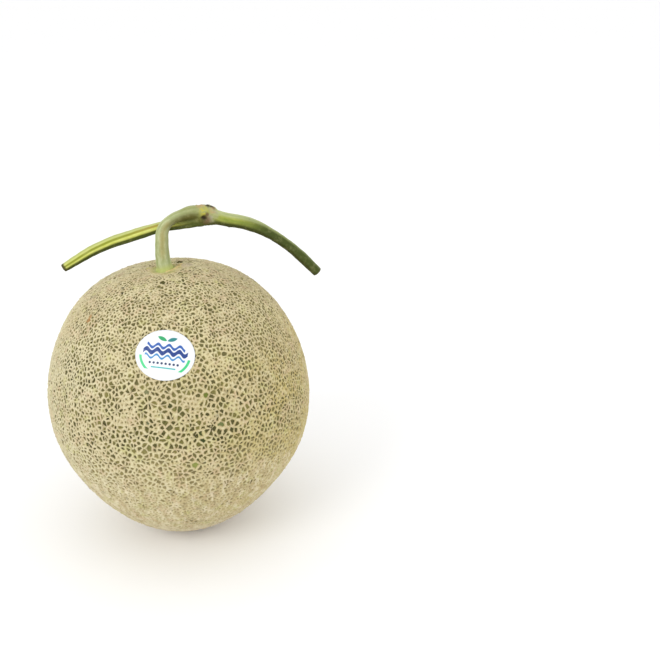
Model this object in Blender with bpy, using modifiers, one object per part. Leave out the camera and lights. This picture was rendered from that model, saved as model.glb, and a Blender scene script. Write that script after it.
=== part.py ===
"""A netted muskmelon that stands on its blossom end, with its stalk, its T of cut vine and an oval label.

Metres, +Z up. The origin is the middle of the small flat spot that the fruit stands on.
-Y is the side that the label is on, and +X is to the right as one faces that side.
"""
import math
import random

import bmesh
import bpy
from mathutils import Matrix, Vector

MM = 0.001

# Fruit: its radius from the middle is a mean radius with a few waves in the angle from the stalk.
MEAN_RADIUS = 77.1 * MM
SHAPE_WAVES = ((2, 0.0418), (3, -0.0232), (4, 0.0014), (5, -0.0086))
LEAN_LEFT = math.radians(3.0)
LEAN_FORWARD = math.radians(1.0)
MIDDLE = Vector((-1.6 * MM, -0.5 * MM, 80.8 * MM))
DIMPLE_DEPTH = 1.6 * MM
DIMPLE_RADIUS = 13.0 * MM

# Gentle lumps and hollows that make it less than perfectly round: direction, height and spread.
LUMP_SPREAD = 0.35
LUMPS = (
    ((-0.22, -0.56, -0.80), 1.0 * MM),
    ((0.51, -0.51, -0.70), -0.8 * MM),
    ((-0.54, 0.23, 0.81), 0.9 * MM),
    ((0.88, -0.33, -0.34), 0.7 * MM),
    ((-0.82, -0.38, -0.43), -0.7 * MM),
)

# Net: cork cords stand between the cells of skin.
CELL_COUNT = 690
CELL_JITTER = 0.40
NET_HEIGHT = 1.5 * MM
SKIN_SHARE = 0.68
SMOOTH_COLLAR = 9.0 * MM
COLLAR_FADE = 6.0 * MM
FOOT_FADE = 2.0 * MM
NET_SEED = 11
NET_CREASE = math.radians(28.0)  # a sharper edge than this is shaded as a crease

# Stalk and vine: each route is points (x, y, z, radius) in millimetres, from the stalk's foot.
STALK_ROUTE = (
    (0.0, 0.0, 0.0, 6.2),
    (-0.1, 0.0, 1.6, 5.2),
    (-0.9, 0.2, 4.6, 4.4),
    (-1.2, 0.6, 9.8, 3.8),
    (-0.9, 0.8, 15.4, 3.4),
    (-0.2, 1.2, 20.6, 3.2),
    (1.9, 1.8, 24.4, 2.9),
    (5.6, 2.6, 27.1, 2.6),
    (10.6, 3.7, 28.9, 2.8),
    (16.0, 4.6, 29.7, 3.6),
    (22.4, 5.0, 28.8, 4.0),
)
LEFT_ARM_ROUTE = (
    (-55.0, 10.2, 0.6, 1.8),
    (-47.6, 10.7, 4.4, 2.1),
    (-39.9, 11.1, 8.9, 2.6),
    (-34.8, 11.3, 11.5, 2.9),
    (-27.1, 11.3, 14.7, 3.15),
    (-18.7, 11.0, 17.1, 3.3),
    (-10.6, 10.6, 19.3, 3.25),
    (-3.6, 9.9, 20.8, 2.95),
    (3.0, 8.9, 21.9, 2.85),
    (9.6, 7.6, 22.9, 2.9),
    (15.5, 6.5, 24.0, 3.2),
    (22.1, 5.4, 26.1, 4.0),
)
RIGHT_ARM_ROUTE = (
    (21.1, 5.4, 27.4, 4.1),
    (28.9, 4.2, 26.5, 3.85),
    (35.4, 3.1, 25.4, 3.5),
    (43.6, 1.8, 24.0, 3.2),
    (51.8, 0.8, 21.0, 2.9),
    (60.1, 0.0, 15.8, 2.8),
    (68.4, -0.6, 9.5, 2.7),
    (76.1, -1.0, 2.3, 2.8),
    (84.4, -1.3, -6.6, 2.6),
)
STEM_CREASE = math.radians(40.0)
STEM_MERGE = 0.02 * MM
STEM_SLIVER = 0.01 * MM
SEAT_RADIUS = 7.8 * MM
SEAT_RIM_RADIUS = 10.5 * MM
SEAT_RIM_HEIGHT = 3.0 * MM
SEAT_SIDES = 24
NODE_CENTRE = (22.8, 5.1, 28.2)
NODE_RADII = (7.0, 5.0, 5.8)
NODE_SLOPE = math.radians(8.0)
NODE_SIDES = 14
NODE_RINGS = 9
RIB_COUNT = 5
RIB_RISE = 0.10
STEM_GAP = 0.3 * MM

# Label: an oval sticker pressed on the crests of the net.
LABEL_LENGTH = 30.1 * MM
LABEL_HEIGHT = 26.0 * MM
LABEL_AZIMUTH = math.radians(-4.2)
LABEL_ELEVATION = math.radians(41.3)
LABEL_TURN = math.radians(-12.5)
LABEL_THICKNESS = 0.6 * MM
LABEL_GAP = 0.3 * MM
LABEL_EDGES = 32
LABEL_RINGS = 4


def clear_scene():
    for item in list(bpy.data.objects):
        bpy.data.objects.remove(item, do_unlink=True)


def make_collection(name):
    collection = bpy.data.collections.new(name)
    bpy.context.scene.collection.children.link(collection)
    return collection


def make_material(name, colour, roughness):
    material = bpy.data.materials.new(name)
    material.use_nodes = True
    shader = material.node_tree.nodes["Principled BSDF"]
    shader.inputs["Base Color"].default_value = (*colour, 1.0)
    shader.inputs["Roughness"].default_value = roughness
    shader.inputs["Metallic"].default_value = 0.0
    return material


def add_object(name, mesh, collection, material):
    item = bpy.data.objects.new(name, mesh)
    collection.objects.link(item)
    item.data.materials.append(material)
    return item


def leaned(point):
    """Lean a point about the fruit's middle, to the left and then towards the front."""
    return Matrix.Rotation(LEAN_FORWARD, 4, "X") @ (Matrix.Rotation(-LEAN_LEFT, 4, "Y") @ point)


def fruit_point(direction, rise=0.0):
    """The place on the fruit's surface in a direction from its middle, raised by a height."""
    angle = math.acos(max(-1.0, min(1.0, direction.z)))
    radius = MEAN_RADIUS * (1.0 + sum(size * math.cos(wave * angle) for wave, size in SHAPE_WAVES))
    from_axis = radius * math.sin(angle) if angle < math.pi / 2 else radius
    radius -= DIMPLE_DEPTH * math.exp(-((from_axis / DIMPLE_RADIUS) ** 2))
    for lump, height in LUMPS:
        apart = (direction - Vector(lump).normalized()).length
        radius += height * math.exp(-((apart / LUMP_SPREAD) ** 2))
    smooth = MIDDLE + leaned(direction * radius)
    collar = min(1.0, max(0.0, (from_axis - SMOOTH_COLLAR) / COLLAR_FADE))
    near_foot = min(1.0, max(0.0, smooth.z / FOOT_FADE))
    return smooth + leaned(direction) * (rise * collar * near_foot)


def scattered_directions(count, jitter, seed):
    """Directions spread evenly over a sphere along a spiral, each one then moved a little."""
    draw = random.Random(seed)
    golden_angle = math.pi * (3.0 - math.sqrt(5.0))
    spacing = math.sqrt(4.0 * math.pi / count)
    directions = []
    for index in range(count):
        height = 1.0 - 2.0 * (index + 0.5) / count
        ring = math.sqrt(1.0 - height * height)
        turn = golden_angle * index
        place = Vector((ring * math.cos(turn), ring * math.sin(turn), height))
        nudge = Vector([draw.gauss(0.0, 1.0) for _ in range(3)]).normalized()
        place += nudge * spacing * jitter * math.sqrt(draw.random())
        directions.append(place.normalized())
    return directions


def dual_cells(mesh):
    """Turn a mesh of triangles into one of many-sided cells, a cell round each corner."""
    holder = bpy.data.objects.new("cell_guide", mesh)
    bpy.context.scene.collection.objects.link(holder)
    tree = bpy.data.node_groups.new("cell_guide", "GeometryNodeTree")
    tree.interface.new_socket("Geometry", in_out="INPUT", socket_type="NodeSocketGeometry")
    tree.interface.new_socket("Geometry", in_out="OUTPUT", socket_type="NodeSocketGeometry")
    given = tree.nodes.new("NodeGroupInput")
    dual = tree.nodes.new("GeometryNodeDualMesh")
    result = tree.nodes.new("NodeGroupOutput")
    tree.links.new(given.outputs[0], dual.inputs["Mesh"])
    tree.links.new(dual.outputs["Dual Mesh"], result.inputs[0])
    modifier = holder.modifiers.new("cells", "NODES")
    modifier.node_group = tree
    graph = bpy.context.evaluated_depsgraph_get()
    cells = bpy.data.meshes.new_from_object(holder.evaluated_get(graph))
    bpy.data.objects.remove(holder, do_unlink=True)
    return cells


def net_mesh():
    """The net on a unit sphere: sunken cells of skin, and each corner's share of the net's height."""
    hull = bmesh.new()
    for direction in scattered_directions(CELL_COUNT, CELL_JITTER, NET_SEED):
        hull.verts.new(direction)
    bmesh.ops.convex_hull(hull, input=hull.verts)
    triangles = bpy.data.meshes.new("fruit_triangles")
    hull.to_mesh(triangles)
    hull.free()

    net = bmesh.new()
    net.from_mesh(dual_cells(triangles))
    height = net.verts.layers.float.new("net_share")
    for corner in net.verts:
        corner[height] = 1.0
    cells = list(net.faces)
    bmesh.ops.inset_individual(net, faces=cells, thickness=0.0, depth=0.0)
    for cell in cells:
        centre = cell.calc_center_median()
        for corner in cell.verts:
            corner.co = centre + (corner.co - centre) * SKIN_SHARE
            corner[height] = 0.0
    return net, height


def make_fruit(collection, guides, material):
    net, height = net_mesh()
    for corner in net.verts:
        rise = NET_HEIGHT * (corner[height] - 0.5)
        corner.co = fruit_point(corner.co.normalized(), rise)
    bmesh.ops.triangulate(net, faces=[face for face in net.faces if len(face.verts) == 4])
    cut_flat_spot(net)
    bmesh.ops.recalc_face_normals(net, faces=net.faces)
    mesh = bpy.data.meshes.new("fruit")
    net.to_mesh(mesh)
    net.free()
    fruit = add_object("fruit", mesh, collection, material)
    mesh.shade_smooth()
    mesh.set_sharp_from_angle(angle=NET_CREASE)
    seat = fruit.modifiers.new("stalk_seat", "BOOLEAN")
    seat.operation = "DIFFERENCE"
    seat.object = seat_cutter(guides)
    return fruit


def seat_cutter(guides):
    """A shallow dish that gives the stalk's foot a smooth seat in the dimple."""
    dish = bmesh.new()
    bmesh.ops.create_cone(
        dish,
        cap_ends=True,
        segments=SEAT_SIDES,
        radius1=SEAT_RADIUS,
        radius2=SEAT_RIM_RADIUS,
        depth=SEAT_RIM_HEIGHT,
    )
    bmesh.ops.translate(dish, verts=dish.verts, vec=(0.0, 0.0, SEAT_RIM_HEIGHT / 2.0))
    for corner in dish.verts:
        corner.co = fruit_point(Vector((0.0, 0.0, 1.0))) + leaned(corner.co)
    mesh = bpy.data.meshes.new("stalk_seat")
    dish.to_mesh(mesh)
    dish.free()
    cutter = bpy.data.objects.new("stalk_seat", mesh)
    cutter.hide_render = True
    cutter.display_type = "WIRE"
    guides.objects.link(cutter)
    return cutter


def cut_flat_spot(net):
    """Cut the underside at z = 0 and close it with one flat face."""
    everything = list(net.verts) + list(net.edges) + list(net.faces)
    cut = bmesh.ops.bisect_plane(
        net,
        geom=everything,
        dist=1e-6,
        plane_co=(0.0, 0.0, 0.0),
        plane_no=(0.0, 0.0, -1.0),
        clear_outer=True,
    )
    rim = [item for item in cut["geom_cut"] if isinstance(item, bmesh.types.BMEdge)]
    bmesh.ops.contextual_create(net, geom=rim)


def ribbed_section(collection):
    """The vine's cross-section: a round with blunt ribs, one unit in radius."""
    sides = RIB_COUNT * 2
    curve = bpy.data.curves.new("vine_section", "CURVE")
    curve.dimensions = "2D"
    spline = curve.splines.new("POLY")
    spline.points.add(sides - 1)
    for index in range(sides):
        turn = 2.0 * math.pi * index / sides
        radius = (1.0 + RIB_RISE * (1 if index % 2 == 0 else -1)) * MM
        spline.points[index].co = (radius * math.cos(turn), radius * math.sin(turn), 0.0, 1.0)
    spline.use_cyclic_u = True
    section = bpy.data.objects.new("vine_section", curve)
    section.hide_render = True
    section.display_type = "WIRE"
    collection.objects.link(section)
    return section


def smooth_route(route, steps):
    """Points along a smooth curve through a route's own points."""
    ends = [route[0]] + list(route) + [route[-1]]
    points = []
    for index in range(1, len(ends) - 2):
        before, start, end, after = (Vector(ends[index + shift]) for shift in (-1, 0, 1, 2))
        for step in range(steps):
            t = step / steps
            points.append(0.5 * (
                2.0 * start
                + (end - before) * t
                + (2.0 * before - 5.0 * start + 4.0 * end - after) * t * t
                + (3.0 * start - before - 3.0 * end + after) * t ** 3
            ))
    points.append(Vector(ends[-2]))
    return points


def tube(name, route, foot, section, steps=2):
    """A closed ribbed tube along a route given in millimetres from the stalk's foot."""
    curve = bpy.data.curves.new(name, "CURVE")
    curve.dimensions = "3D"
    points = smooth_route(route, steps)
    spline = curve.splines.new("POLY")
    spline.points.add(len(points) - 1)
    for target, point in zip(spline.points, points):
        target.co = (*(foot + point.xyz * MM), 1.0)
        target.radius = point.w
    curve.bevel_mode = "OBJECT"
    curve.bevel_object = section
    curve.use_fill_caps = True
    holder = bpy.data.objects.new(name, curve)
    bpy.context.scene.collection.objects.link(holder)
    graph = bpy.context.evaluated_depsgraph_get()
    mesh = bpy.data.meshes.new_from_object(holder.evaluated_get(graph))
    bpy.data.objects.remove(holder, do_unlink=True)
    closed = bmesh.new()
    closed.from_mesh(mesh)
    bmesh.ops.remove_doubles(closed, verts=closed.verts, dist=1e-6)
    bmesh.ops.recalc_face_normals(closed, faces=closed.faces)
    closed.to_mesh(mesh)
    closed.free()
    return mesh


def swelling_mesh(foot):
    """The swollen node where the stalk meets the vine."""
    ball = bmesh.new()
    bmesh.ops.create_uvsphere(ball, u_segments=NODE_SIDES, v_segments=NODE_RINGS, radius=1.0)
    place = Matrix.Translation(foot + Vector(NODE_CENTRE) * MM) @ Matrix.Rotation(NODE_SLOPE, 4, "Y")
    size = Matrix.Diagonal((NODE_RADII[0] * MM, NODE_RADII[1] * MM, NODE_RADII[2] * MM, 1.0))
    bmesh.ops.transform(ball, matrix=place @ size, verts=ball.verts)
    mesh = bpy.data.meshes.new("node_swelling")
    ball.to_mesh(mesh)
    ball.free()
    return mesh


def join_with(item, meshes):
    """Add closed meshes to an object by one Boolean union, and apply it."""
    joined = bpy.data.collections.new("to_join")
    bpy.context.scene.collection.children.link(joined)
    for mesh in meshes:
        joined.objects.link(bpy.data.objects.new(mesh.name, mesh))
    union = item.modifiers.new("union", "BOOLEAN")
    union.operation = "UNION"
    union.operand_type = "COLLECTION"
    union.collection = joined
    graph = bpy.context.evaluated_depsgraph_get()
    result = bpy.data.meshes.new_from_object(item.evaluated_get(graph))
    item.modifiers.remove(union)
    item.data = result
    for extra in list(joined.objects):
        bpy.data.objects.remove(extra, do_unlink=True)
    bpy.data.collections.remove(joined)


def make_stem(collection, guides, material):
    section = ribbed_section(guides)
    foot = fruit_point(Vector((0.0, 0.0, 1.0))) + Vector((0.0, 0.0, STEM_GAP))
    stalk = tube("stalk", STALK_ROUTE, foot, section)
    left_arm = tube("left_arm", LEFT_ARM_ROUTE, foot, section)
    right_arm = tube("right_arm", RIGHT_ARM_ROUTE, foot, section)
    stem = add_object("stem", stalk, collection, material)
    join_with(stem, [left_arm, right_arm, swelling_mesh(foot)])
    tidy = bmesh.new()
    tidy.from_mesh(stem.data)
    bmesh.ops.remove_doubles(tidy, verts=tidy.verts, dist=STEM_MERGE)
    bmesh.ops.dissolve_degenerate(tidy, edges=tidy.edges, dist=STEM_SLIVER)
    tidy.to_mesh(stem.data)
    tidy.free()
    stem.data.shade_smooth()
    stem.data.set_sharp_from_angle(angle=STEM_CREASE)
    bpy.data.objects.remove(section, do_unlink=True)
    return stem


def make_label(collection, material):
    """An oval sheet on the crests, then given its thickness."""
    outward = Vector((
        math.sin(LABEL_AZIMUTH) * math.cos(LABEL_ELEVATION),
        -math.cos(LABEL_AZIMUTH) * math.cos(LABEL_ELEVATION),
        math.sin(LABEL_ELEVATION),
    ))
    across = Vector((0.0, 0.0, 1.0)).cross(outward).normalized()
    along = Matrix.Rotation(LABEL_TURN, 3, outward) @ across
    upward = outward.cross(along)
    sheet = bmesh.new()
    spoke = [sheet.verts.new((ring / LABEL_RINGS, 0.0, 0.0)) for ring in range(LABEL_RINGS + 1)]
    edges = [sheet.edges.new(pair) for pair in zip(spoke, spoke[1:])]
    bmesh.ops.spin(
        sheet,
        geom=spoke + edges,
        axis=(0.0, 0.0, 1.0),
        cent=(0.0, 0.0, 0.0),
        angle=2.0 * math.pi,
        steps=LABEL_EDGES,
    )
    bmesh.ops.remove_doubles(sheet, verts=sheet.verts, dist=1e-4)
    bmesh.ops.recalc_face_normals(sheet, faces=sheet.faces)
    lift = 0.5 * NET_HEIGHT + LABEL_GAP
    for corner in sheet.verts:
        flat = corner.co
        offset = along * (flat.x * LABEL_LENGTH / 2.0) + upward * (flat.y * LABEL_HEIGHT / 2.0)
        direction = outward * MEAN_RADIUS + offset
        corner.co = fruit_point(direction.normalized(), lift)
    mesh = bpy.data.meshes.new("label")
    sheet.to_mesh(mesh)
    sheet.free()
    label = add_object("label", mesh, collection, material)
    wall = label.modifiers.new("thickness", "SOLIDIFY")
    wall.thickness = LABEL_THICKNESS
    wall.offset = 1.0
    mesh.shade_smooth()
    return label


def build():
    clear_scene()
    parts = make_collection("muskmelon")
    guides = make_collection("guides")
    cork = make_material("cork_net", (0.62, 0.52, 0.33), 0.75)
    vine = make_material("vine", (0.36, 0.42, 0.16), 0.6)
    paper = make_material("label_film", (0.9, 0.92, 0.93), 0.35)
    make_fruit(parts, guides, cork)
    make_stem(parts, guides, vine)
    make_label(parts, paper)


build()
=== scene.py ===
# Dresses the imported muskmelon: a fine cork net over green skin, a ribbed stalk with its T of vine,
# and a printed film label.
import math

import bmesh
import bpy
import numpy as np
from mathutils import Matrix, Vector, kdtree
from mathutils.bvhtree import BVHTree
from mathutils.geometry import delaunay_2d_cdt
from mathutils.noise import noise as noiseHeight


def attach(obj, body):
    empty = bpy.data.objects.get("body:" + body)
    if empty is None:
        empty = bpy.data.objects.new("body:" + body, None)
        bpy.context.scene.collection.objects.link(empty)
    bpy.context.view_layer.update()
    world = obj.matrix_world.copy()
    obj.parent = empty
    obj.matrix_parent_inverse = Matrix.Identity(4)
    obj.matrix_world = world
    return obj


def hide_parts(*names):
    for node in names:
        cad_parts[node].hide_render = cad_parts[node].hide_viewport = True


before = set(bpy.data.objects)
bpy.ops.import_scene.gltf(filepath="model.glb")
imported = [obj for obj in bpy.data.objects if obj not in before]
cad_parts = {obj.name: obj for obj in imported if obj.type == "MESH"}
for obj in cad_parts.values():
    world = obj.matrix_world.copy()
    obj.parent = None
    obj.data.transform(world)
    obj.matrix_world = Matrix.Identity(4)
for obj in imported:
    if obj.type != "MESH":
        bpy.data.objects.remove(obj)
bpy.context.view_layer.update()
mm = 0.001


# Node tree helpers

def feed(tree, socket, value):
    if isinstance(value, bpy.types.NodeSocket):
        tree.links.new(value, socket)
    else:
        socket.default_value = value


def addNode(tree, kind, fed=(), **settings):
    # fed holds values or links for the inputs, in their own order or by name or number
    node = tree.nodes.new(kind)
    for name, value in settings.items():
        setattr(node, name, value)
    for name, value in fed.items() if isinstance(fed, dict) else enumerate(fed):
        feed(tree, node.inputs[name], value)
    return node


def math2(tree, operation, first, second=0.0, third=0.0):
    return addNode(tree, "ShaderNodeMath", (first, second, third), operation=operation).outputs[0]


def product(tree, first, *others):
    for other in others:
        first = math2(tree, "MULTIPLY", first, other)
    return first


def total(tree, first, *others):
    for other in others:
        first = math2(tree, "ADD", first, other)
    return first


def swing(tree, value, reach):
    # A noise of 0 to 1 made to swing from -reach to reach
    return math2(tree, "MULTIPLY_ADD", value, 2.0 * reach, -reach)


def vectorMath(tree, operation, first, second=(0.0, 0.0, 0.0)):
    node = addNode(tree, "ShaderNodeVectorMath", (first, second), operation=operation)
    return node.outputs["Value"] if operation in ("LENGTH", "DISTANCE") else node.outputs[0]


def splitPlace(tree, place):
    return addNode(tree, "ShaderNodeSeparateXYZ", (place,)).outputs


def ramp(tree, value, low, high, toLow=0.0, toHigh=1.0):
    fed = (value, low, high, toLow, toHigh)
    return addNode(tree, "ShaderNodeMapRange", fed, interpolation_type="SMOOTHSTEP").outputs[0]


def colour(red, green, blue):
    # A screen colour of 0 to 255 values, as a shader takes it
    def straight(value):
        value /= 255.0
        return value / 12.92 if value <= 0.04045 else ((value + 0.055) / 1.055) ** 2.4
    return (straight(red), straight(green), straight(blue), 1.0)


def mixColour(tree, amount, first, second):
    return addNode(tree, "ShaderNodeMix", {0: amount, 6: first, 7: second}, data_type="RGBA").outputs[2]


def overlay(tree, shade, layers):
    # Colours laid over a shade in turn, each with how much of it shows
    for amount, tint in layers:
        shade = mixColour(tree, amount, shade, colour(*tint))
    return shade


def noise(tree, place, scale, detail=2.0, roughness=0.5, output="Fac"):
    fed = {"Vector": place, "Scale": scale, "Detail": detail, "Roughness": roughness}
    return addNode(tree, "ShaderNodeTexNoise", fed, noise_dimensions="3D").outputs[output]


def attribute(tree, name, output="Fac"):
    return addNode(tree, "ShaderNodeAttribute", attribute_name=name).outputs[output]


def addBump(tree, shader, height, strength, distance):
    bump = addNode(tree, "ShaderNodeBump", {"Strength": strength, "Distance": distance, "Height": height})
    feed(tree, shader.inputs["Normal"], bump.outputs[0])


def newMaterial(name):
    material = bpy.data.materials.new(name)
    material.use_nodes = True
    tree = material.node_tree
    return material, tree, tree.nodes["Principled BSDF"]


# Shape of the fruit

fruitShape = {
    "meanRadius": 77.1 * mm,
    "waves": {2: 0.0418, 3: -0.0232, 4: 0.0014, 5: -0.0086},  # share of the mean radius
    "leanLeft": 3.0,  # degrees
    "leanForward": 1.0,
    "middle": (-1.6 * mm, -0.5 * mm, 80.8 * mm),
    "dimpleDepth": 1.6 * mm,
    "dimpleRadius": 13.0 * mm,
    "shoulderDip": 1.25 * mm,
    "shoulderAngle": 52.0,  # degrees from the stalk's end
    "shoulderSpread": 24.0,
    "lumpSpread": 0.35,
    "lumps": (
        ((-0.22, -0.56, -0.80), 1.0 * mm),
        ((0.51, -0.51, -0.70), -0.8 * mm),
        ((-0.54, 0.23, 0.81), 0.9 * mm),
        ((0.88, -0.33, -0.34), 0.7 * mm),
        ((-0.82, -0.38, -0.43), -0.7 * mm),
    ),
}


def leanMatrix():
    left = Matrix.Rotation(-math.radians(fruitShape["leanLeft"]), 3, "Y")
    forward = Matrix.Rotation(math.radians(fruitShape["leanForward"]), 3, "X")
    return np.array(forward @ left)


def smoothStep(low, high, value):
    share = np.clip((value - low) / (high - low), 0.0, 1.0)
    return share * share * (3.0 - 2.0 * share)


def fruitRadius(directions):
    # How far the smooth surface is from the fruit's middle, and how far from the stalk's axis
    angle = np.arccos(np.clip(directions[:, 2], -1.0, 1.0))
    share = sum(size * np.cos(wave * angle) for wave, size in fruitShape["waves"].items())
    radius = fruitShape["meanRadius"] * (1.0 + share)
    fromAxis = np.where(angle < math.pi / 2, radius * np.sin(angle), radius)
    radius = radius - fruitShape["dimpleDepth"] * np.exp(-((fromAxis / fruitShape["dimpleRadius"]) ** 2))
    fromShoulder = (np.degrees(angle) - fruitShape["shoulderAngle"]) / fruitShape["shoulderSpread"]
    radius = radius - fruitShape["shoulderDip"] * np.exp(-(fromShoulder ** 2))
    for lump, height in fruitShape["lumps"]:
        middle = np.array(lump) / np.linalg.norm(lump)
        apart = np.linalg.norm(directions - middle, axis=1)
        radius = radius + height * np.exp(-((apart / fruitShape["lumpSpread"]) ** 2))
    return radius, fromAxis


def fruitSurface(directions, rise):
    radius, _ = fruitRadius(directions)
    local = directions * (radius + rise)[:, None]
    return np.array(fruitShape["middle"]) + local @ leanMatrix().T


def drawnOut(directions):
    # The same ways, drawn out here and squeezed there, so that pits become slits
    shifts = [Vector((0.0, 0.0, away)) for away in netLook["drawOutShifts"]]
    places = [Vector(way / netLook["drawOutLength"]) for way in directions]
    moves = np.array([[noiseHeight(place + shift) for shift in shifts] for place in places])
    calm = smoothStep(*netLook["drawOutCalm"], np.hypot(directions[:, 0], directions[:, 1]))
    moved = directions + moves * (netLook["drawOut"] * calm)[:, None]
    return moved / np.linalg.norm(moved, axis=1)[:, None]


def footPlace():
    # Where the stalk stands on the fruit
    return fruitSurface(np.array([[0.0, 0.0, 1.0]]), 0.0)[0]


def getPoints(mesh):
    points = np.empty(len(mesh.vertices) * 3, np.float32)
    mesh.vertices.foreach_get("co", points)
    return points.reshape(-1, 3).astype(float)


def setPoints(mesh, points):
    mesh.vertices.foreach_set("co", points.astype(np.float32).ravel())
    mesh.update()


def storeOnPoints(mesh, name, values):
    layer = mesh.attributes.get(name) or mesh.attributes.new(name, "FLOAT", "POINT")
    layer.data.foreach_set("value", np.asarray(values, np.float32))


def readPoints(mesh, name):
    values = np.empty(len(mesh.vertices), np.float32)
    mesh.attributes[name].data.foreach_get("value", values)
    return values.astype(float)


def addPiece(name, mesh, material):
    piece = bpy.data.objects.new(name, mesh)
    bpy.context.scene.collection.objects.link(piece)
    mesh.materials.clear()
    mesh.materials.append(material)
    return piece


# Cork net

netLook = {
    "candidates": 150000,  # places tried for the middles of the cells
    "spacing": 0.0236,  # between middles, on a ball of radius 1
    "spacingSpread": (0.70, 1.22),
    "spacingPower": 1.5,  # above 1, close spacings are the common ones
    "tallness": 1.42,  # cells are this much longer towards the ends than across
    "endShrink": 0.26,  # cells near the stalk and the blossom end are this much closer
    "endMiddle": -0.1,  # height on the ball where they are widest apart
    "endPower": 1.5,
    "sideShrink": 0.07,  # and those away from the front
    "sideFrom": (0.9, 0.5),  # from here to here on the ball, where 1 is the front
    "lowShrink": 0.09,  # and those below the middle
    "lowFrom": (0.0, -0.5),
    "poleRing": 0.050,  # radius of the ring of cells under the stalk's foot
    "poleRingCells": 10,
    "poleRingClear": 1.25,  # other cells keep this many of its radii away
    "cordHalfWidth": 0.0122,
    "cordNoise": 0.42,
    "cordNoiseScale": 16.0,
    "cordWidths": (  # axis of the ball, where a change of width starts and is full, and its factor
        (2, 0.3, 0.75, 0.82),  # finer near the stalk
        (2, -0.55, -0.85, 0.84),  # and near the blossom end
        (1, -0.85, -0.45, 0.90),  # and away from the front
        (2, -0.1, -0.5, 1.15),  # coarser below the middle
    ),
    "pitBelow": 0.29,  # a pit that would be less than this share of its cell comes to a point
    "widestPit": 0.76,
    "widePitReach": 0.68,  # share of a wide cell that its own skin colour fills
    "leastFloor": 0.01,
    "mergeDistance": 0.001,  # draws the corners of a pit's point together
    "seed": 7,
    "drawOut": 0.0150,  # how far cells are drawn out and squeezed, on a ball of radius 1
    "drawOutLength": 0.052,  # and over what length
    "drawOutShifts": (0.0, 57.3, 119.8),  # places in the noise for the three parts of each move
    "drawOutCalm": (0.06, 0.14),  # it starts and is full this far from the stalk's axis
    "height": 0.62 * mm,
    "crest": 0.22 * mm,  # above the fruit's smooth shape
    "wander": 0.12 * mm,  # how far a cord strays from its straight line
    "floorWander": 0.22 * mm,  # and a corner of a pit's floor from its even place
    "collarRadius": 6.0 * mm,  # smooth green skin round the stalk's foot
    "collarFade": 1.5 * mm,
    "collarSink": 0.1 * mm,
    "corkRing": 8.6 * mm,  # and a ring of cork without pits round that
    "corkRingFade": (1.0 * mm, 2.0 * mm),  # inwards and outwards
    "lipMiddle": (-5.2 * mm, 7.5 * mm),  # from the foot: an old crack left a curved lip of cork
    "lipRadius": 13.6 * mm,
    "lipEnds": (-76.0, 2.0),  # degrees
    "lipFade": 15.0,
    "lipDepth": 20.0 * mm,  # none further than this below the foot
    "lipHeight": 1.0 * mm,
    "lipWidth": 1.35 * mm,
}

widePits = (  # direction from the fruit's middle, width beside a common cell's, and its skin
    ((0.174, -0.892, 0.417), 1.45, (110, 124, 44)),
    ((0.050, -0.997, -0.064), 1.75, (138, 148, 72)),
    ((0.120, -0.978, 0.169), 1.40, (46, 60, 22)),
    ((0.127, -0.985, 0.117), 1.35, (50, 64, 24)),
    ((-0.065, -0.924, 0.376), 1.45, (50, 58, 24)),
    ((-0.231, -0.933, 0.277), 1.40, (100, 106, 78)),
    ((-0.207, -0.858, 0.470), 1.40, (120, 122, 86)),
    ((-0.004, -0.937, 0.350), 1.35, (96, 96, 52)),
    ((0.261, -0.944, 0.200), 1.40, (104, 116, 68)),
    ((-0.084, -0.968, 0.238), 1.45, (104, 98, 60)),
    ((-0.097, -0.980, 0.176), 1.35, (112, 114, 52)),
    ((-0.028, -0.240, 0.970), 1.60, (70, 66, 24)),
    ((0.098, -0.110, 0.989), 1.30, (86, 84, 46)),
    ((0.116, -0.229, 0.967), 1.35, (80, 78, 38)),
    ((0.122, -0.286, 0.950), 1.35, (72, 70, 34)),
)

fruitMarks = (  # direction from the fruit's middle, reach in mm and colour, over cork and skin alike
    ((0.090, 0.118, 0.989), 1.0, (92, 88, 44)),
    ((0.112, 0.126, 0.986), 1.0, (76, 72, 34)),
    ((0.076, 0.075, 0.994), 1.2, (124, 120, 62)),
    ((0.100, 0.150, 0.983), 0.8, (80, 78, 36)),
    ((0.119, 0.143, 0.982), 0.6, (88, 84, 42)),
    ((-0.105, 0.112, 0.988), 0.9, (106, 96, 48)),
    ((-0.088, 0.070, 0.994), 1.0, (132, 124, 66)),
    ((-0.122, 0.055, 0.991), 1.0, (196, 184, 116)),
    ((-0.088, 0.017, 0.996), 1.4, (190, 190, 110)),
    ((0.135, 0.020, 0.991), 2.6, (208, 192, 158)),
    ((0.165, 0.050, 0.985), 2.2, (204, 190, 158)),
    ((-0.524, -0.292, 0.800), 1.3, (184, 150, 104)),
    ((-0.538, -0.314, 0.782), 1.4, (168, 130, 84)),
    ((0.0, 0.0, -1.0), 6.0, (198, 184, 150)),
    ((0.0, 0.0, -1.0), 3.4, (138, 110, 78)),
)


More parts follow.
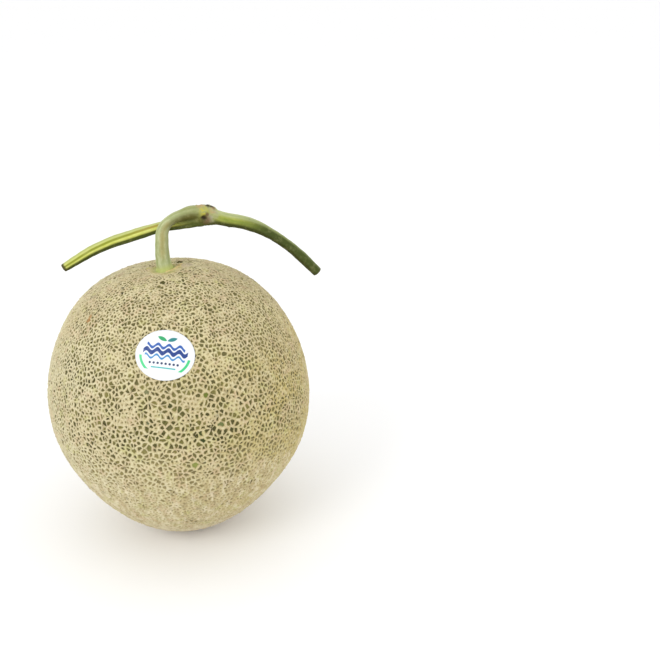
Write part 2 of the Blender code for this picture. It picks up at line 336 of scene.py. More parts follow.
def scatterCells():
    # Middles of the cells on a ball of radius 1, each with its own room round it
    draw = np.random.default_rng(netLook["seed"])
    places = draw.normal(size=(netLook["candidates"], 3))
    places /= np.linalg.norm(places, axis=1)[:, None]
    least, most = netLook["spacingSpread"]
    spread = least + (most - least) * draw.random(len(places)) ** netLook["spacingPower"]
    fromMiddle = np.abs(places[:, 2] - netLook["endMiddle"])
    ends = 1.0 - netLook["endShrink"] * fromMiddle ** netLook["endPower"]
    sides = 1.0 - netLook["sideShrink"] * smoothStep(*netLook["sideFrom"], -places[:, 1])
    below = 1.0 - netLook["lowShrink"] * smoothStep(*netLook["lowFrom"], places[:, 2])
    spacing = netLook["spacing"] * spread * ends * sides * below
    tree = kdtree.KDTree(len(places))
    for index, place in enumerate(places):
        tree.insert(place, index)
    tree.balance()
    turns = np.arange(netLook["poleRingCells"]) * 2.0 * math.pi / netLook["poleRingCells"]
    ring = np.stack([np.cos(turns), np.sin(turns), np.zeros(len(turns))], 1) * netLook["poleRing"]
    ring[:, 2] = math.sqrt(1.0 - netLook["poleRing"] ** 2)
    taken = np.hypot(places[:, 0], places[:, 1]) < netLook["poleRing"] * netLook["poleRingClear"]
    taken &= places[:, 2] > 0.0
    wide = np.array([way for way, _, _ in widePits])
    wide /= np.linalg.norm(wide, axis=1)[:, None]
    tall = netLook["tallness"]

    def claim(place, reach):
        # Every place within an oval round this one, longer towards the ends of the fruit
        near = np.array([found[1] for found in tree.find_range(place, reach * tall)], int)
        endward = np.array([0.0, 0.0, 1.0]) - place * place[2]
        endward /= np.linalg.norm(endward) + 1e-9
        gap = places[near] - place
        rise = gap @ endward
        apart = (gap ** 2).sum(1) - rise ** 2 * (1.0 - 1.0 / tall ** 2)
        taken[near[apart < reach ** 2]] = True

    for way, (_, width, _) in zip(wide, widePits):
        claim(way, netLook["spacing"] * width)
    chosen = []
    for index in range(len(places)):
        if taken[index]:
            continue
        chosen.append(index)
        claim(places[index], spacing[index])
    return np.concatenate([ring, wide, places[chosen]])


def ballOfTriangles(places):
    # Joins the middles into well-shaped triangles, worked out on a plane seen from the stalk's pole
    flat = places[:, :2] / (1.0 - places[:, 2])[:, None]
    _, _, faces, origin, _, _ = delaunay_2d_cdt([Vector(spot) for spot in flat], [], [], 0, 1e-7)
    index = [given[0] for given in origin]
    triangles = [tuple(index[corner] for corner in face) for face in faces]
    triangles.append(tuple(range(netLook["poleRingCells"])))  # closes the pole
    mesh = bpy.data.meshes.new("ballOfTriangles")
    mesh.from_pydata([tuple(place) for place in places], [], triangles)
    fix = bmesh.new()
    fix.from_mesh(mesh)
    bmesh.ops.recalc_face_normals(fix, faces=fix.faces)
    fix.to_mesh(mesh)
    print("cells:", len(places), "open edges:", sum(not edge.is_manifold for edge in fix.edges))
    fix.free()
    return mesh


netInputs = {  # the tree's named inputs, with their kinds and the values they take
    "Cord Half Width": ("Float", "cordHalfWidth"),
    "Cord Noise": ("Float", "cordNoise"),
    "Cord Noise Scale": ("Float", "cordNoiseScale"),
    "Pit Below": ("Float", "pitBelow"),
    "Widest Pit": ("Float", "widestPit"),
    "Seed": ("Int", "seed"),
}


def netTree(material):
    # Turns a ball of triangles into cells of sunken skin with raised cords between them
    tree = bpy.data.node_groups.new("netOnBall", "GeometryNodeTree")
    face = tree.interface
    face.new_socket("Geometry", in_out="OUTPUT", socket_type="NodeSocketGeometry")
    face.new_socket("Triangles", in_out="INPUT", socket_type="NodeSocketGeometry")
    ids = {}
    for label, (kind, _) in netInputs.items():
        ids[label] = face.new_socket(label, in_out="INPUT", socket_type="NodeSocket" + kind).identifier
    given = addNode(tree, "NodeGroupInput").outputs

    def store(geometry, name, value, domain, kind="FLOAT", selection=True):
        fed = {"Geometry": geometry, "Selection": selection, "Name": name, "Value": value}
        node = addNode(tree, "GeometryNodeStoreNamedAttribute", fed, data_type=kind, domain=domain)
        return node.outputs[0]

    def stored(name, kind="FLOAT"):
        return addNode(tree, "GeometryNodeInputNamedAttribute", {"Name": name}, data_type=kind).outputs[0]

    # A triangle's own normal points at the corner where its three cells meet
    outward = addNode(tree, "GeometryNodeInputNormal").outputs[0]
    triangles = store(given["Triangles"], "corner", outward, "FACE", "FLOAT_VECTOR")
    cells = addNode(tree, "GeometryNodeDualMesh", {"Mesh": triangles}).outputs[0]
    fed = {"Geometry": cells, "Position": stored("corner", "FLOAT_VECTOR")}
    cells = addNode(tree, "GeometryNodeSetPosition", fed).outputs[0]

    # A pit takes the share of its cell that the cords round it leave
    area = addNode(tree, "GeometryNodeInputMeshFaceArea").outputs[0]
    reach = math2(tree, "SQRT", math2(tree, "DIVIDE", area, math.pi))
    place = addNode(tree, "GeometryNodeInputPosition").outputs[0]
    width = swing(tree, noise(tree, place, given["Cord Noise Scale"], 1.0), 1.0)
    width = math2(tree, "MULTIPLY_ADD", width, given["Cord Noise"], 1.0)
    axes = splitPlace(tree, place)
    for axis, start, end, factor in netLook["cordWidths"]:
        width = product(tree, width, ramp(tree, axes[axis], start, end, 1.0, factor))
    halfWidth = product(tree, given["Cord Half Width"], width)
    share = math2(tree, "SUBTRACT", 1.0, math2(tree, "DIVIDE", halfWidth, reach))
    share = math2(tree, "MINIMUM", math2(tree, "MAXIMUM", share, 0.0), given["Widest Pit"])
    tone = addNode(tree, "FunctionNodeRandomValue", {"Seed": given["Seed"]}, data_type="FLOAT").outputs[1]
    cells = store(cells, "pitShare", share, "FACE")
    cells = store(cells, "pitTone", tone, "FACE")
    cells = store(cells, "net", 1.0, "POINT")

    # Each cell's face goes down as the pit's floor, or as its point where the cell is small
    fed = {"Mesh": cells, "Offset Scale": 0.0, "Individual": True}
    sunk = addNode(tree, "GeometryNodeExtrudeMesh", fed, mode="FACES").outputs
    small = math2(tree, "LESS_THAN", stored("pitShare"), given["Pit Below"])
    floorSize = product(tree, stored("pitShare"), math2(tree, "SUBTRACT", 1.0, small))
    floorSize = math2(tree, "MAXIMUM", floorSize, netLook["leastFloor"])
    fed = {"Geometry": sunk["Mesh"], "Selection": sunk["Top"], "Scale": floorSize}
    shrunk = addNode(tree, "GeometryNodeScaleElements", fed, domain="FACE").outputs[0]
    floored = store(shrunk, "net", 0.0, "POINT", selection=sunk["Top"])
    pointed = addNode(tree, "FunctionNodeBooleanMath", (sunk["Top"], small), operation="AND").outputs[0]
    fed = {"Geometry": floored, "Selection": pointed, "Distance": netLook["mergeDistance"]}
    merged = addNode(tree, "GeometryNodeMergeByDistance", fed).outputs[0]

    real = addNode(tree, "GeometryNodeRealizeInstances", (merged,)).outputs[0]
    finish = addNode(tree, "GeometryNodeSetMaterial", {"Geometry": real, "Material": material})
    addNode(tree, "NodeGroupOutput", (finish.outputs[0],))
    return tree, ids


netNoises = {  # bumps in a metre, detail and roughness
    "edge": (1500.0, 2.0, 0.5),
    "lump": (520.0, 1.0, 0.5),
    "blotch": (38.0, 2.0, 0.5),
    "fleck": (170.0, 2.0, 0.5),
    "fine": (420.0, 3.0, 0.6),
    "grain": (1300.0, 2.0, 0.6),
    "mottle": (900.0, 2.0, 0.5),
}

netPaint = {
    "cork": (206, 197, 162),
    "corkLayers": (  # what each follows, where it starts and is full, how much of it shows and its colour
        ("across", -70.0 * mm, 70.0 * mm, 1.0, (189, 170, 104)),  # warmer to the right
        ("height", 45.0 * mm, 5.0 * mm, 0.7, (217, 202, 174)),  # painted light: paler towards the foot
        ("height", 112.0 * mm, 140.0 * mm, 0.6, (226, 215, 174)),  # and round the top
        ("blotch", 0.42, 0.62, 0.6, (194, 177, 138)),
        ("fleck", 0.54, 0.68, 0.5, (202, 171, 142)),  # pink
        ("fleck", 0.44, 0.30, 0.6, (190, 188, 120)),  # yellow green
        ("fine", 0.35, 0.75, 0.65, (218, 209, 172)),
        ("net", 0.85, 0.25, 0.55, (160, 144, 100)),  # painted shade down the cords' sides
        # painted highlight along the cords' crests
        ("crest", 0.80, 1.05, 0.4, (216, 213, 176)),
        ("grain", 0.48, 0.30, 0.5, (166, 148, 100)),
        ("streaks", 0.52, 0.64, 0.55, (224, 214, 184)),
        ("streaks", 0.46, 0.36, 0.5, (176, 156, 116)),
        # painted light: palest at the very foot
        ("height", 20.0 * mm, 5.0 * mm, 0.6, (242, 228, 206)),
    ),
    "skin": (68, 64, 28),
    "skinLayers": (
        ("pitTone", 0.3, 1.0, 1.0, (122, 115, 60)),  # each pit has its own tone
        ("pitShare", 0.5, 0.66, 0.6, (72, 92, 38)),  # green in the widest pits
        ("mottle", 0.45, 0.7, 0.5, (128, 124, 70)),
        ("mottle", 0.45, 0.3, 0.45, (54, 60, 24)),
        ("patchyHeight", 100.0 * mm, 128.0 * mm, 0.26, (148, 138, 88)),  # paler at the top
        ("patchyHeight", 90.0 * mm, 56.0 * mm, 0.80, (156, 142, 98)),  # and much paler below
        ("across", 10.0 * mm, 60.0 * mm, 0.35, (142, 130, 80)),
        ("height", 18.0 * mm, 5.0 * mm, 0.6, (120, 102, 66)),
    ),
    "patchiness": 20.0 * mm,
    "streakScale": 330.0,
    "streakStretch": (1.0, 1.0, 0.1),
    "streakHeights": (78.0 * mm, 50.0 * mm),  # faint streaks fade in from here to here
    "raggedEdge": (0.16, 0.34),  # of the net's own height, where skin gives way to cork
    "edgeSwing": 0.25,  # how far the noises move that edge
    "lumpSwing": 0.38,
    "crestHighlightSwing": 0.25,
    "pitPatches": (0.35, 0.6, 0.5, 1.0),  # noise from here to here makes that much of a pit's colour
    "tingeFlecks": (0.40, 0.58, 0.1, 0.8),  # and the same for the green tinge
    "spotSoftness": 0.15,  # share of a spot's reach over which its edge fades, in and out
    "stray": 1.0 * mm,  # how far a mark's edge wanders
    "strayScale": 600.0,
    "ring": (1.5 * mm, -0.5 * mm, 0.8, (204, 188, 142)),  # fades from here to here past the cork ring
    "tinge": (3.4 * mm, 0.6 * mm, (164, 160, 94)),  # and past the collar
    "collar": (0.6 * mm, -0.8 * mm, (172, 182, 108)),
    "lip": (0.85, (216, 192, 134)),
    "crackNoise": 0.3,
    "crackEdge": (0.45, 0.75),
    "footStray": 1.2 * mm,
    "topHeights": (130.0 * mm, 140.0 * mm),
    "roughness": (0.5, 0.82),  # of skin and of cork
    "shine": 0.22,
    "bump": (0.6, 0.35 * mm),  # strength and depth
    "reliefEdge": (0.05, 0.62),
    "corkGrain": 0.35,
}


def layered(tree, shade, layers, follow, masks):
    # Lays a table's layers over a shade; follow and masks hold what drives or limits them
    for name, start, end, most, tint in layers:
        amount = ramp(tree, follow[name], start, end, 0.0, most)
        if name in masks:
            amount = product(tree, amount, masks[name])
        shade = mixColour(tree, amount, shade, colour(*tint))
    return shade


def spotShare(tree, place, way, reach):
    # 1 within reach of the place where a way from the fruit's middle meets its surface
    direction = np.array([way]) / np.linalg.norm(way)
    apart = vectorMath(tree, "DISTANCE", place, tuple(fruitSurface(direction, 0.0)[0]))
    soft = netPaint["spotSoftness"]
    return ramp(tree, apart, reach * (1.0 + soft), reach * (1.0 - soft))


def netMaterial():
    material, tree, shader = newMaterial("corkNetOverSkin")
    place = addNode(tree, "ShaderNodeTexCoord").outputs["Object"]
    across, _, height = splitPlace(tree, place)
    net = attribute(tree, "net")
    follow = {name: noise(tree, place, *given) for name, given in netNoises.items()}
    edgeNoise, fine = follow["edge"], follow["fine"]
    stretched = vectorMath(tree, "MULTIPLY", place, netPaint["streakStretch"])
    follow.update({
        "across": across,
        "height": height,
        "net": net,
        "pitTone": attribute(tree, "pitTone"),
        "pitShare": attribute(tree, "pitShare"),
        # where the cords' painted highlight falls, along their crests
        "crest": total(tree, net, swing(tree, follow["grain"], netPaint["crestHighlightSwing"])),
        "streaks": noise(tree, stretched, netPaint["streakScale"]),
        "patchyHeight": total(tree, height, swing(tree, follow["blotch"], netPaint["patchiness"])),
    })
    masks = {"streaks": ramp(tree, height, *netPaint["streakHeights"])}
    corkTone = layered(tree, colour(*netPaint["cork"]), netPaint["corkLayers"], follow, masks)
    skin = layered(tree, colour(*netPaint["skin"]), netPaint["skinLayers"], follow, masks)

    # The widest pits have a skin colour each
    patchy = ramp(tree, edgeNoise, *netPaint["pitPatches"])
    middles = drawnOut(np.array([way for way, _, _ in widePits]))
    for way, (_, width, tint) in zip(middles, widePits):
        reach = netLook["widePitReach"] * width * netLook["spacing"] * fruitShape["meanRadius"]
        here = product(tree, spotShare(tree, place, way, reach), patchy)
        skin = mixColour(tree, here, skin, colour(*tint))
    ragged = total(tree, net, swing(tree, edgeNoise, netPaint["edgeSwing"]))
    ragged = total(tree, ragged, swing(tree, follow["lump"], netPaint["lumpSwing"]))
    cork = ramp(tree, ragged, *netPaint["raggedEdge"])
    shade = mixColour(tree, cork, skin, corkTone)

    stray = noise(tree, place, netPaint["strayScale"], output="Color")
    stray = vectorMath(tree, "MULTIPLY", stray, (2.0 * netPaint["stray"],) * 3)
    strayed = vectorMath(tree, "ADD", place, stray)
    strayed = vectorMath(tree, "SUBTRACT", strayed, (netPaint["stray"],) * 3)
    marks = ((spotShare(tree, strayed, way, reach * mm), tint) for way, reach, tint in fruitMarks)
    shade = overlay(tree, shade, marks)

    # Round the stalk's foot: a cork ring, smooth green skin and the ridge of an old crack
    fromFoot = vectorMath(tree, "SUBTRACT", place, tuple(footPlace()))
    flat = vectorMath(tree, "MULTIPLY", fromFoot, (1.0, 1.0, 0.0))
    fromStalk = total(tree, vectorMath(tree, "LENGTH", flat), swing(tree, fine, netPaint["footStray"]))
    top = ramp(tree, height, *netPaint["topHeights"])
    start, end, most, tint = netPaint["ring"]
    ring = ramp(tree, fromStalk, netLook["corkRing"] + start, netLook["corkRing"] + end, 0.0, most)
    shade = mixColour(tree, product(tree, ring, top), shade, colour(*tint))
    greenness = {"tinge": ramp(tree, follow["fleck"], *netPaint["tingeFlecks"]), "collar": 1.0}
    for name, share in greenness.items():
        start, end, tint = netPaint[name]
        green = ramp(tree, fromStalk, netLook["collarRadius"] + start, netLook["collarRadius"] + end)
        shade = mixColour(tree, product(tree, green, top, share), shade, colour(*tint))
    crack = math2(tree, "MULTIPLY_ADD", edgeNoise, netPaint["crackNoise"], attribute(tree, "lip"))
    crack = ramp(tree, crack, *netPaint["crackEdge"])
    most, tint = netPaint["lip"]
    shade = mixColour(tree, product(tree, crack, most), shade, colour(*tint))
    feed(tree, shader.inputs["Base Color"], shade)
    feed(tree, shader.inputs["Roughness"], ramp(tree, cork, 0.0, 1.0, *netPaint["roughness"]))
    feed(tree, shader.inputs["Specular IOR Level"], netPaint["shine"])
    grainy = product(tree, fine, product(tree, cork, netPaint["corkGrain"]))
    relief = total(tree, ramp(tree, ragged, *netPaint["reliefEdge"]), grainy, crack)
    addBump(tree, shader, relief, *netPaint["bump"])
    return material


def lipShare(points):
    # 1 along the crest of the crack's lip beside the stalk's foot
    offset = points - footPlace()
    offset[:, :2] -= netLook["lipMiddle"]
    away = np.hypot(offset[:, 0], offset[:, 1]) - netLook["lipRadius"]
    turn = np.degrees(np.arctan2(offset[:, 1], offset[:, 0]))
    start, end = netLook["lipEnds"]
    fade = netLook["lipFade"]
    ends = smoothStep(start, start + fade, turn) * smoothStep(end, end - fade, turn)
    nearTop = points[:, 2] > footPlace()[2] - netLook["lipDepth"]
    return np.exp(-((away / netLook["lipWidth"]) ** 2)) * ends * nearTop


def makeFruit():
    material = netMaterial()
    tree, ids = netTree(material)
    holder = bpy.data.objects.new("netHolder", ballOfTriangles(scatterCells()))
    bpy.context.scene.collection.objects.link(holder)
    modifier = holder.modifiers.new("net", "NODES")
    modifier.node_group = tree
    for label, (_, key) in netInputs.items():
        modifier[ids[label]] = netLook[key]
    graph = bpy.context.evaluated_depsgraph_get()
    mesh = bpy.data.meshes.new_from_object(holder.evaluated_get(graph))
    bpy.data.objects.remove(holder, do_unlink=True)
    mesh.name = "fruitNet"

    directions = getPoints(mesh)
    directions /= np.linalg.norm(directions, axis=1)[:, None]
    directions = drawnOut(directions)
    net = readPoints(mesh, "net")
    _, fromAxis = fruitRadius(directions)
    radius, fade = netLook["collarRadius"], netLook["collarFade"]
    collar = 1.0 - smoothStep(radius - fade, radius + fade, fromAxis)
    inner, outer = netLook["corkRingFade"]
    ring = 1.0 - smoothStep(netLook["corkRing"] - inner, netLook["corkRing"] + outer, fromAxis)
    rise = netLook["crest"] - netLook["height"] * (1.0 - net) * (1.0 - ring)
    rise = rise * (1.0 - collar) - netLook["collarSink"] * collar
    lip = lipShare(fruitSurface(directions, rise))
    storeOnPoints(mesh, "lip", lip)
    points = fruitSurface(directions, rise + netLook["lipHeight"] * lip)

    # Cords stray every way, and the corners of a pit's floor along the skin only
    draw = np.random.default_rng(netLook["seed"] + 1)
    stray = draw.normal(size=points.shape)
    points += stray * (netLook["wander"] * (1.0 - collar) * net)[:, None]
    ways = directions @ leanMatrix().T
    alongSkin = stray - (stray * ways).sum(1)[:, None] * ways
    points += alongSkin * (netLook["floorWander"] * (1.0 - collar) * (1.0 - net))[:, None]
    points[:, 2] = np.maximum(points[:, 2], 0.0)  # the small flat spot
    setPoints(mesh, points)
    mesh.shade_smooth()
    triangles = sum(len(face.vertices) - 2 for face in mesh.polygons)
    print("fruit:", len(mesh.polygons), "faces,", triangles, "triangles")
    return addPiece("fruitNet", mesh, material)


fruit = makeFruit()
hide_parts("fruit")
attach(fruit, "root")


# Stalk and vine

stemRoutes = {  # points (x, y, z, radius) in millimetres, from the stalk's foot
    "stalk": (
        (-0.3, 0.0, -1.0, 5.0),
        (-0.3, 0.0, 0.0, 4.5),
        (-0.4, 0.0, 1.6, 4.1),
        (-0.9, 0.2, 4.6, 3.8),
        (-1.1, 0.6, 9.8, 3.55),
        (-0.9, 0.8, 15.4, 3.4),
        (-0.2, 1.2, 20.6, 3.2),
        (1.9, 1.8, 24.4, 2.9),
        (5.6, 2.6, 27.1, 2.7),
        (10.6, 3.7, 28.9, 2.9),
        (16.0, 4.6, 29.7, 3.6),
        (22.4, 5.0, 28.8, 4.0),
    ),
    "leftArm": (
        (-55.0, 10.2, 0.5, 2.1),
        (-47.6, 10.7, 4.6, 2.5),
        (-39.9, 11.1, 8.7, 2.75),
        (-34.8, 11.3, 10.9, 2.85),
        (-27.1, 11.3, 13.8, 2.95),
        (-18.7, 11.0, 16.2, 3.05),
        (-10.6, 10.6, 18.5, 3.0),
        (-3.6, 9.9, 20.4, 2.85),
        (3.0, 8.9, 21.9, 2.85),
        (9.6, 7.6, 22.9, 2.9),
        (15.5, 6.5, 24.0, 3.2),
        (22.1, 5.4, 26.1, 4.0),
        (28.5, 4.3, 26.4, 3.5),
    ),
    "rightArm": (
        (21.1, 5.4, 27.4, 4.1),
        (28.9, 4.2, 26.5, 3.85),
        (35.4, 3.1, 25.2, 3.5),
        (43.6, 1.8, 23.6, 3.45),
        (51.8, 0.8, 20.6, 3.2),
        (60.1, 0.0, 15.8, 2.8),
        (68.4, -0.6, 9.5, 2.7),
        (76.1, -1.0, 2.3, 2.8),
        (84.4, -1.3, -6.6, 2.6),
    ),
}

limbGrooves = {  # degrees round the limb from its front, and depth as a share of its radius
    "stalk": ((6, 0.05), (58, 0.08), (118, 0.07), (178, 0.08), (-122, 0.07), (-58, 0.09)),
    "leftArm": ((-64, 0.07), (-15, 0.16), (46, 0.14), (112, 0.12), (176, 0.12)),
    "rightArm": ((-62, 0.05), (-8, 0.06), (52, 0.07), (120, 0.07), (-160, 0.07)),
}

limbTwist = {"stalk": 0.0, "leftArm": -0.5, "rightArm": 0.0}  # degrees the grooves turn in a millimetre

nodeMarks = (  # place from the stalk's foot, reach and rise in mm, and how it looks
    ((22.3, 0.0, 27.4), 1.7, -1.1, "dark"),  # the axil's scar
    ((23.3, 0.0, 26.0), 3.0, -0.1, "brown"),
    ((24.3, 0.4, 29.2), 1.1, -0.1, "brown"),
    ((25.0, 3.5, 33.6), 1.4, 0.35, "dark"),  # the scab on top
    ((26.8, 3.4, 33.0), 1.2, 0.2, "dark"),
    ((28.2, 3.2, 32.3), 1.4, 0.3, "brown"),
    ((21.0, 3.6, 34.2), 2.6, 0.4, "cork"),
    ((22.6, 1.0, 31.6), 2.6, 0.8, "bright"),  # the swollen bud's base
    ((22.0, 0.4, 29.6), 1.9, 0.3, "bright"),
    ((27.4, 2.0, 31.0), 2.0, 0.35, "cork"),
    ((26.1, 0.6, 27.0), 2.6, 0.1, "pale"),
    ((28.2, 1.6, 28.6), 2.4, 0.0, "pale"),
    ((37.0, 0.8, 29.3), 0.7, 0.1, "dark"),
    ((36.0, 2.4, 22.0), 0.9, 0.3, "dark"),
    ((46.8, 0.0, 25.6), 0.5, 0.1, "dark"),
)

stemLook = {
    "nodeCentre": (23.6, 5.1, 28.0),  # millimetres from the stalk's foot
    "nodeRadii": (7.8, 4.8, 5.7),
    "nodeSlope": 8.0,  # degrees
    "nodeFacets": (32, 20),
    "footLift": 0.3 * mm,
    "fullness": 1.08,  # makes up for what the grooves and the softening take
    "stepsPerStretch": 14,
    "sides": 30,
    "voxel": 0.30 * mm,
    "smoothing": 8,  # rounds of softening
    "softness": 0.5,
    "joinSoftness": 0.5 * mm,  # over which one limb's look gives way to another's
    "deepest": -5.0 * mm,  # no point counts as deeper in a limb than this
    "grooveWidth": 15.0,  # degrees
    "lumpHeight": 0.16 * mm,
    "lumpLength": 3.5 * mm,
    "wrinkleHeight": 0.45 * mm,  # on the swollen node
    "wrinkleLength": 1.3 * mm,
    "fibreRadius": 0.35,  # how fast streaks change round a limb
    "fibreLength": 25.0 * mm,
    "streak": (4.0, 26.0, 0.75),  # degrees round the stalk from its front, spread and strength
    # painted shade down the stalk's right side, in the same columns
    "paintedRightSideShade": (88.0, 38.0, 0.6),
    "underUpward": (0.60, -0.32),  # how far a face looks up where the shade below starts and is full
    "brownFrom": (-30.0 * mm, -8.0 * mm),  # across, where the left arm's grooves turn brown
    "roughness": 0.52,
    "shine": 0.25,
    "bump": (0.35, 0.25 * mm),  # strength and depth
    "mottleBump": 0.5,
    "blotches": (0.38, 0.58, 0.25, 1.0),  # noise from here to here makes that much of a mark's colour
}

stemNoises = {  # scale, detail and roughness; the streaks' scale is among the fibres
    "streaks": (6.0, 4.0, 0.65),
    "mottle": (260.0, 3.0, 0.6),
    "blotch": (700.0, 3.0, 0.6),
}

stemFades = {  # millimetres, where each starts and is full
    "grooves": (4.5, 12.0),  # from the node
    "wrinkles": (5.0, 11.0),
    "node": (8.0, 22.0),
    "foot": (1.5, 5.0),  # along the stalk
    "streakStart": (5.0, 11.0),
    "streakEnd": (32.0, 26.0),
    # painted shade on the stalk's right side, along the stalk
    "paintedRightSideShade": (6.0, 12.0),
    "farEnd": (16.0, 38.0),  # along the right arm
    "cut": (2.5, 3.2),  # from the arms' ends
}


def smoothRoute(route, steps):
    # Points along a smooth curve through the route's own points
    ends = np.array([route[0], *route, route[-1]])
    points = []
    for before, start, end, after in zip(ends, ends[1:], ends[2:], ends[3:]):
        for step in range(steps):
            t = step / steps
            points.append(0.5 * (
                2.0 * start
                + (end - before) * t
                + (2.0 * before - 5.0 * start + 4.0 * end - after) * t * t
                + (3.0 * start - before - 3.0 * end + after) * t ** 3
            ))
    points.append(ends[-2])
    return np.array(points)


def limbFrames(route):
    # Middles, radii, and at each one the way along, the way to the front and the way to its side
    samples = smoothRoute(route, stemLook["stepsPerStretch"]) * mm
    middles, radii = samples[:, :3], samples[:, 3] * stemLook["fullness"]
    along = np.gradient(middles, axis=0)
    along /= np.linalg.norm(along, axis=1)[:, None]
    front = np.array([0.0, -1.0, 0.0])
    forward = front - along * (along @ front)[:, None]
    forward /= np.linalg.norm(forward, axis=1)[:, None]
    steps = np.linalg.norm(np.diff(middles, axis=0), axis=1)
    return {
        "middles": middles,
        "radii": radii,
        "along": along,
        "forward": forward,
        "sideways": np.cross(along, forward),
        "length": np.concatenate([[0.0], np.cumsum(steps)]),
    }


def addTube(target, limb):
    sides = stemLook["sides"]
    turns = np.arange(sides) * 2.0 * math.pi / sides
    rings = []
    parts = (limb[name] for name in ("middles", "radii", "forward", "sideways"))
    for middle, radius, forward, sideways in zip(*parts):
        places = middle + radius * (np.cos(turns)[:, None] * forward + np.sin(turns)[:, None] * sideways)
        rings.append([target.verts.new(place) for place in places])
    for lower, upper in zip(rings, rings[1:]):
        for side in range(sides):
            nextSide = (side + 1) % sides
            target.faces.new((lower[side], lower[nextSide], upper[nextSide], upper[side]))
    target.faces.new(reversed(rings[0]))
    target.faces.new(rings[-1])


def fusedStem(limbs):
    # The tubes and the swollen node as one closed skin, with soft joins
    solid = bmesh.new()
    for limb in limbs.values():
        addTube(solid, limb)
    place = Matrix.Translation(Vector(stemLook["nodeCentre"]) * mm)
    place @= Matrix.Rotation(math.radians(stemLook["nodeSlope"]), 4, "Y")
    size = Matrix.Diagonal((*(radius * mm for radius in stemLook["nodeRadii"]), 1.0))
    across, down = stemLook["nodeFacets"]
    bmesh.ops.create_uvsphere(solid, u_segments=across, v_segments=down, radius=1.0, matrix=place @ size)
    bmesh.ops.recalc_face_normals(solid, faces=solid.faces)
    mesh = bpy.data.meshes.new("stemTubes")
    solid.to_mesh(mesh)
    solid.free()
    holder = bpy.data.objects.new("stemHolder", mesh)
    bpy.context.scene.collection.objects.link(holder)
    remesh = holder.modifiers.new("fuse", "REMESH")
    remesh.mode = "VOXEL"
    remesh.voxel_size = stemLook["voxel"]
    soften = holder.modifiers.new("soften", "SMOOTH")
    soften.factor = stemLook["softness"]
    soften.iterations = stemLook["smoothing"]
    graph = bpy.context.evaluated_depsgraph_get()
    fused = bpy.data.meshes.new_from_object(holder.evaluated_get(graph))
    bpy.data.objects.remove(holder, do_unlink=True)
    fused.name = "stalkAndVine"
    return fused


def limbCoordinates(points, limb):
    # Each point's nearest place on a limb: how far along, degrees round from the front, height above it
    middles = limb["middles"]
    gaps = (points ** 2).sum(1)[:, None] - 2.0 * points @ middles.T + (middles ** 2).sum(1)
    nearest = gaps.argmin(1)
    offset = points - middles[nearest]
    ahead = (offset * limb["along"][nearest]).sum(1)
    outward = offset - ahead[:, None] * limb["along"][nearest]
    distance = np.maximum(np.linalg.norm(outward, axis=1), 1e-6)
    outward /= distance[:, None]
    forward = (outward * limb["forward"][nearest]).sum(1)
    sideways = (outward * limb["sideways"][nearest]).sum(1)
    beyond = np.linalg.norm(offset, axis=1) - limb["radii"][nearest]
    return {
        "along": limb["length"][nearest] + ahead,
        "around": np.degrees(np.arctan2(sideways, forward)),
        "outward": outward,
        "radius": limb["radii"][nearest],
        "beyond": beyond,
        "steepness": np.abs(limb["along"][nearest][:, 2]),
    }


def grooveShare(around, grooves):
    # 0 on a rib and the groove's own depth in its bottom
    depth = np.zeros(len(around))
    for angle, share in grooves:
        apart = (around - angle + 180.0) % 360.0 - 180.0
        depth = depth + share * np.exp(-((apart / stemLook["grooveWidth"]) ** 2))
    return depth


